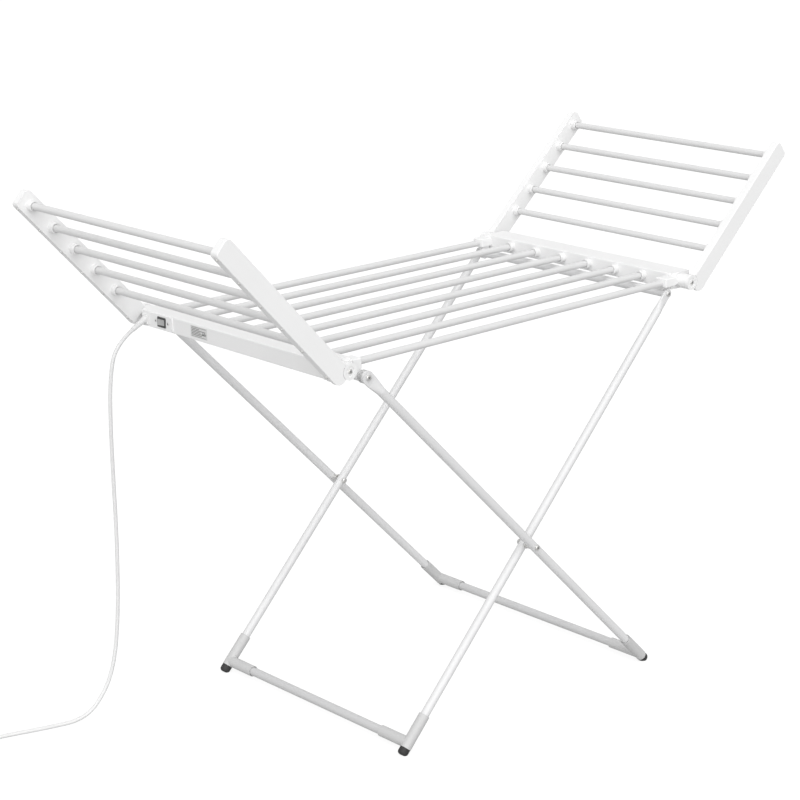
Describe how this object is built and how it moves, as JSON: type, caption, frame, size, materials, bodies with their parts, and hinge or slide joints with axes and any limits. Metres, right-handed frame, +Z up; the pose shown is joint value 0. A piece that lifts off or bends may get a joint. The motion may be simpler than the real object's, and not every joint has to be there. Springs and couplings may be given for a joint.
{
  "type": "clothes drying rack",
  "caption": "Heated winged clothes airer: a deck of white bars on folding crossed legs, with a barred wing hinged at each end and a switch and mains lead on one end beam.",
  "frame": {"origin": "on the floor, at the middle of the rack's own box (without the mains lead), with the wings standing up as in use", "axes": "+X along the rack towards the wing without the switch, +Y across it towards the side where the mains lead leaves, +Z up"},
  "size_m": [1.5328, 0.5777, 0.9262],
  "materials": {
    "bush_plastic": "pale grey plastic",
    "coated_aluminium": "white powder coat on aluminium tube, satin",
    "coated_steel": "white powder coat on steel tube, satin",
    "collar_plastic": "white injection-moulded plastic, semi-gloss",
    "cord_sheath": "white flexible PVC sheath, satin",
    "cutout_steel": "plated steel can",
    "elbow_plastic": "white injection-moulded plastic, satin",
    "foot_rubber": "black rubber, matt",
    "heater_sleeve": "silicone-sleeved heating wire",
    "housing_plastic": "white injection-moulded plastic, fine satin texture",
    "label_film": "blank printed film, matt",
    "plated_brass": "nickel-plated brass",
    "plug_plastic": "white moulded plastic",
    "rocker_grey": "grey plastic rocker, semi-gloss",
    "switch_black": "black plastic",
    "terminal_plastic": "natural nylon",
    "zinc_steel": "zinc-plated steel"
  },
  "bodies": {
    "deck": {"beam_left_lid": "housing_plastic", "beam_left_tray": "housing_plastic", "beam_right_lid": "housing_plastic", "beam_right_tray": "housing_plastic", "control_panel": "housing_plastic", "cord_coil": "cord_sheath", "corner_left_far": "housing_plastic", "corner_left_near": "housing_plastic", "corner_right_far": "housing_plastic", "corner_right_near": "housing_plastic", "deck_bar_1": "coated_aluminium", "deck_bar_2": "coated_aluminium", "deck_bar_3": "coated_aluminium", "deck_bar_4": "coated_aluminium", "deck_bar_5": "coated_aluminium", "deck_bar_6": "coated_aluminium", "deck_bar_7": "coated_aluminium", "deck_bar_8": "coated_aluminium", "deck_bar_collars": "collar_plastic", "deck_heater_wires": "heater_sleeve", "mains_cord": "cord_sheath", "panel_screws": "zinc_steel", "plug_body": "plug_plastic", "plug_pins": "plated_brass", "rating_label": "label_film", "strain_relief": "cord_sheath", "switch_case": "switch_black", "terminal_block": "terminal_plastic", "thermal_cutout": "cutout_steel"},
    "leg_frame_outer": {"leg_outer_bolts": "zinc_steel", "leg_outer_bottom_tube": "coated_steel", "leg_outer_elbows": "elbow_plastic", "leg_outer_far": "coated_steel", "leg_outer_feet": "foot_rubber", "leg_outer_near": "coated_steel", "leg_pivot_bushes": "bush_plastic"},
    "leg_frame_inner": {"leg_inner_bolts": "zinc_steel", "leg_inner_bottom_tube": "coated_steel", "leg_inner_elbows": "elbow_plastic", "leg_inner_far": "coated_steel", "leg_inner_feet": "foot_rubber", "leg_inner_near": "coated_steel", "leg_inner_top_tube": "coated_steel"},
    "wing_left": {"wing_left_bars": "coated_aluminium", "wing_left_collars": "collar_plastic", "wing_left_heater_wires": "heater_sleeve", "wing_left_rail_cover_far": "housing_plastic", "wing_left_rail_cover_near": "housing_plastic", "wing_left_rail_far": "housing_plastic", "wing_left_rail_near": "housing_plastic", "wing_left_screws": "zinc_steel"},
    "wing_right": {"wing_right_bars": "coated_aluminium", "wing_right_collars": "collar_plastic", "wing_right_heater_wires": "heater_sleeve", "wing_right_rail_cover_far": "housing_plastic", "wing_right_rail_cover_near": "housing_plastic", "wing_right_rail_far": "housing_plastic", "wing_right_rail_near": "housing_plastic", "wing_right_screws": "zinc_steel"},
    "rocker": {"rocker_switch": "rocker_grey"}
  },
  "joints": [
    {"name": "leg_fold", "type": "hinge", "parent": "deck", "child": "leg_frame_outer", "pos_m": [-0.37285, 0, 0.666], "axis": [0, 1, 0], "range_deg": [0, 42]},
    {"name": "leg_scissor", "type": "hinge", "parent": "leg_frame_outer", "child": "leg_frame_inner", "pos_m": [-0.00886, 0, 0.29251], "axis": [0, 1, 0], "range_deg": [-84, 0]},
    {"name": "wing_left_fold", "type": "hinge", "parent": "deck", "child": "wing_left", "pos_m": [-0.41086, 0, 0.684], "axis": [0, 1, 0], "range_deg": [-47.4, 130.6]},
    {"name": "wing_right_fold", "type": "hinge", "parent": "deck", "child": "wing_right", "pos_m": [0.39315, 0, 0.684], "axis": [0, -1, 0], "range_deg": [-42.6, 135.4]},
    {"name": "switch_rock", "type": "hinge", "parent": "deck", "child": "rocker", "pos_m": [-0.43855, 0.1775, 0.686], "axis": [0, 0, 1], "range_deg": [-18, 0]}
  ],
  "couplings": [
    {"joint": "leg_scissor", "follows": "leg_fold", "ratio": -2}
  ]
}
